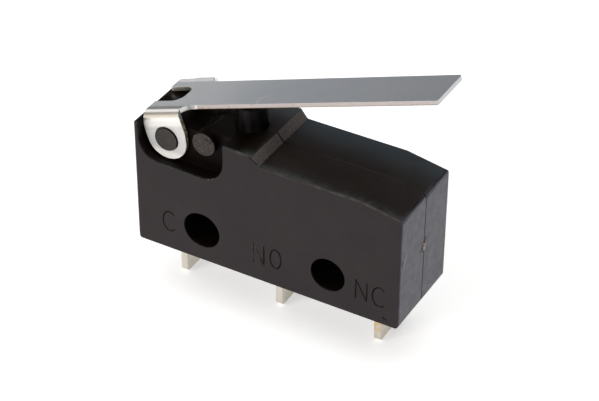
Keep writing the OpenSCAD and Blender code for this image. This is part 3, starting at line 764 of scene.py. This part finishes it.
def corner_tool(corner, along, inward, out):
    """A pyramid that takes off a corner by the plane through its first three points."""
    corner, along, inward = Vector(corner), Vector(along), Vector(inward)
    far_side = corner - (along - corner) - (inward - corner)
    points = [far_side, 2 * along - corner, 2 * inward - corner, corner + Vector(out)]
    bm = bmesh.new()
    verts = [bm.verts.new(mm(*p)) for p in points]
    for face in ((0, 1, 2), (0, 3, 1), (1, 3, 2), (2, 3, 0)):
        bm.faces.new([verts[i] for i in face])
    bmesh.ops.recalc_face_normals(bm, faces=bm.faces)
    return add_object("corner_tool", mesh_of("corner_tool", bm))


def way_of(face):
    return tuple(round(c, 3) for c in face.normal)


def cut_copy(source, name, tools):
    """A copy of a CAD node with tools cut out of it, flat on its large faces and smooth on its roundings."""
    cut = add_object(name, source.data.copy())
    for tool in tools:
        step = cut.modifiers.new("cut", "BOOLEAN")
        step.operation = "DIFFERENCE"
        step.solver = "EXACT"
        step.object = tool
    bpy.context.view_layer.update()
    mesh = bpy.data.meshes.new_from_object(cut.evaluated_get(bpy.context.evaluated_depsgraph_get()))
    cut.modifiers.clear()
    cut.data = mesh
    mesh.materials.clear()
    mesh.materials.append(housing_mat)
    mesh.shade_smooth()
    mesh.set_sharp_from_angle(angle=CREASE)
    flat_area = {}
    for face in mesh.polygons:
        face.material_index = 0
        flat_area[way_of(face)] = flat_area.get(way_of(face), 0) + face.area
    for face in mesh.polygons:
        face.use_smooth = flat_area[way_of(face)] < LEAST_FLAT * MM * MM
    for tool in tools:
        bpy.data.objects.remove(tool)
    return cut


# the rear half's far upper left corner is worn off, by a plane through a point below the corner, one to the
# right of it and one in front of it
worn_corner = corner_tool((LEFT, BACK, LEFT_TOP - 0.41), (LEFT + 1.0, BACK, LEFT_TOP),
                          (LEFT, BACK - 0.9, LEFT_TOP), (-1.5, 1.6, 3.0))
base = cut_copy(nodes["housing_base"], "base_worn_corner", [worn_corner])
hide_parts("housing_base")
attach(base, "housing")

# the diagonals of the letters cross their uprights, so they have a tool of their own
uprights = [[(x, foot), (x, head)] for x0, x1, foot, head in LETTERS_N for x in (x0, x1)]
diagonals = [[(x0, head), (x1, foot)] for x0, x1, foot, head in LETTERS_N]
arcs = [arc_points(box, C_OPENING, 360 - C_OPENING, 22) for box in LETTERS_C]
groove_tools = [groove_tool("groove_tool_1", uprights + arcs + [NICK], [arc_points(LETTER_O, 0, 360, 32)]),
                groove_tool("groove_tool_2", diagonals)]
cover = cut_copy(nodes["housing_cover"], "cover_engraved", groove_tools)
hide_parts("housing_cover")
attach(cover, "housing")


# ---------------------------------------------------------------- flash on the parting line of the end face
def flash_lump(name, centre, radii, seed):
    """A small crumb of moulding flash, uneven all round."""
    bm = bmesh.new()
    bmesh.ops.create_icosphere(bm, subdivisions=4, radius=1.0)
    for v in bm.verts:
        d = v.co.normalized()
        # a broad wave and a narrow one over the crumb
        swell = 1 + 0.22 * math.sin(3.1 * d.x + 4.3 * d.z + seed)
        swell += 0.16 * math.sin(7.7 * d.y - 5.1 * d.z + 2 * seed)
        v.co = mm(*[c + way * r * swell for c, way, r in zip(centre, d, radii)])
    mesh = mesh_of(name, bm)
    mesh.shade_smooth()
    mesh.materials.append(flash_mat)
    obj = add_object(name, mesh)
    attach(obj, "housing")


flash_lump("flash_crumb_upper", (RIGHT, 0.07, 2.36), (0.06, 0.14, 0.12), 0.4)
flash_lump("flash_crumb_middle", (RIGHT, 0.02, 2.20), (0.07, 0.16, 0.12), 1.7)
flash_lump("flash_crumb_lower", (RIGHT, -0.02, 2.03), (0.05, 0.11, 0.11), 2.9)

# ---------------------------------------------------------------- stage and light, in metres and watts
FLOOR_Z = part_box("terminal_no")[0].z
FLOOR_HALF = 1.5
FLOOR_COLOUR = rgb(0.9, 0.9, 0.9)
# what the floor adds for the camera and for mirrors
CAMERA_GLOW = 0.5
MIRRORED_GLOW = 0.3
# the room: grey near the horizon, brown at the front left, dark above, a pale ceiling overhead
ROOM_BACK = rgb(0.36, 0.38, 0.41)
ROOM_FRONT = rgb(0.40, 0.32, 0.23)
ROOM_HIGH = rgb(0.105, 0.092, 0.085)
CEILING = rgb(1.3, 1.3, 1.3)
WHITE = rgb(1, 1, 1)


def pale_floor():
    """A matt pale floor that keeps the part's shadow."""
    mesh = bpy.data.meshes.new("floor")
    h = FLOOR_HALF
    mesh.from_pydata([(-h, -h, 0), (h, -h, 0), (h, h, 0), (-h, h, 0)], [], [(0, 1, 2, 3)])
    obj = add_object("floor", mesh)
    obj.location = (0, 0, FLOOR_Z)
    mat = bpy.data.materials.new("floor")
    mat.use_nodes = True
    t = Tree(mat.node_tree)
    matt = t.node("BsdfDiffuse")
    matt.inputs["Color"].default_value = FLOOR_COLOUR
    ray = t.node("LightPath").outputs
    glow = t.node("Emission")
    seen, mirrored = t.times(ray["Is Camera Ray"], CAMERA_GLOW), t.times(ray["Is Glossy Ray"], MIRRORED_GLOW)
    t.link(t.math("ADD", seen, mirrored), glow.inputs["Strength"])
    both = t.node("AddShader")
    t.link(matt.outputs[0], both.inputs[0])
    t.link(glow.outputs[0], both.inputs[1])
    t.link(both.outputs[0], t.node("OutputMaterial").inputs["Surface"])
    mesh.materials.append(mat)


def studio_world():
    """The room that the object reflects, plain white behind it for the camera."""
    world = bpy.data.worlds.new("studio")
    scene.world = world
    world.use_nodes = True
    t = Tree(world.node_tree)
    # the direction looked in: y is 1 towards the back, z is 1 overhead
    _, y, z = t.split(t.node("TexCoord").outputs["Generated"])
    room = t.mix(t.ramp(y, 0.1, -0.6), ROOM_BACK, ROOM_FRONT)
    room = t.mix(t.ramp(z, 0.15, 0.42), room, ROOM_HIGH)
    room = t.mix(t.ramp(z, 0.72, 0.86), room, CEILING)
    choice = t.node("MixShader")
    t.link(t.node("LightPath").outputs["Is Camera Ray"], choice.inputs[0])
    for colour, socket in ((room, choice.inputs[1]), (WHITE, choice.inputs[2])):
        shade = t.node("Background")
        t.put(shade.inputs["Color"], colour)
        t.link(shade.outputs[0], socket)
    t.link(choice.outputs[0], t.node("OutputWorld").inputs["Surface"])


def area(name, at, size, power):
    """A soft rectangular white lamp that looks at the object."""
    data = bpy.data.lights.new(name, "AREA")
    data.shape = "RECTANGLE"
    data.size, data.size_y = size
    data.energy = power
    obj = add_object(name, data)
    obj.location = at
    obj.rotation_euler = (-Vector(at)).to_track_quat("-Z", "Y").to_euler()


pale_floor()
studio_world()
area("left_window", (-0.40, -0.06, 0.24), (0.20, 0.16), 0.11)
area("front_panel", (-0.17, -0.42, 0.19), (0.30, 0.20), 1.35)
